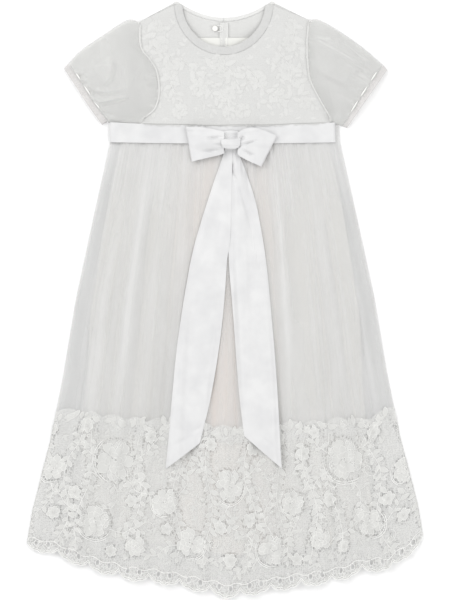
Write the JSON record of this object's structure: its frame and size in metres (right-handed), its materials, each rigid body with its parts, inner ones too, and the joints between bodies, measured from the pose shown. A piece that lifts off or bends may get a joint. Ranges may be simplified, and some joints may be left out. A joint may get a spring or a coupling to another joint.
{
  "type": "baby dress",
  "caption": "Full-length baby dress of net and lace, laid flat: round neck, puff sleeves, satin sash with a bow and long tails, gathered skirt with a scalloped lace border.",
  "frame": {"origin": "under the middle of the bounding box, on the surface that the dress lies on", "axes": "+Y from the hem to the neck, +Z away from the surface towards the front of the dress, +X to the right of the picture, which is the wearer's left"},
  "size_m": [0.475, 0.7164, 0.0197],
  "materials": {
    "tulle": "soft ivory white net, matt",
    "lace": "ivory white lace, matt with a faint sheen on its thread",
    "satin": "white satin ribbon with a soft sheen",
    "lining": "cream lining cloth, smooth",
    "pearl": "pearl white button, glossy"
  },
  "bodies": {
    "root": {"bodice_front": "lace", "bodice_back_left": "tulle", "bodice_back_right": "tulle", "bodice_lining_back": "lining", "neck_band_front": "tulle", "neck_band_back_left": "tulle", "neck_band_back_right": "tulle", "sleeve_left": "tulle", "sleeve_right": "tulle", "cuff_left": "tulle", "cuff_right": "tulle", "sash_front": "satin", "sash_back": "satin", "bow_loop_left": "satin", "bow_loop_right": "satin", "bow_knot": "satin", "tail_left": "satin", "tail_right": "satin", "skirt_front": "tulle", "skirt_back": "tulle", "skirt_lining_front": "lining", "skirt_lining_back": "lining", "lace_border_front": "lace", "lace_border_back": "lace", "back_button": "pearl"}
  },
  "joints": []
}
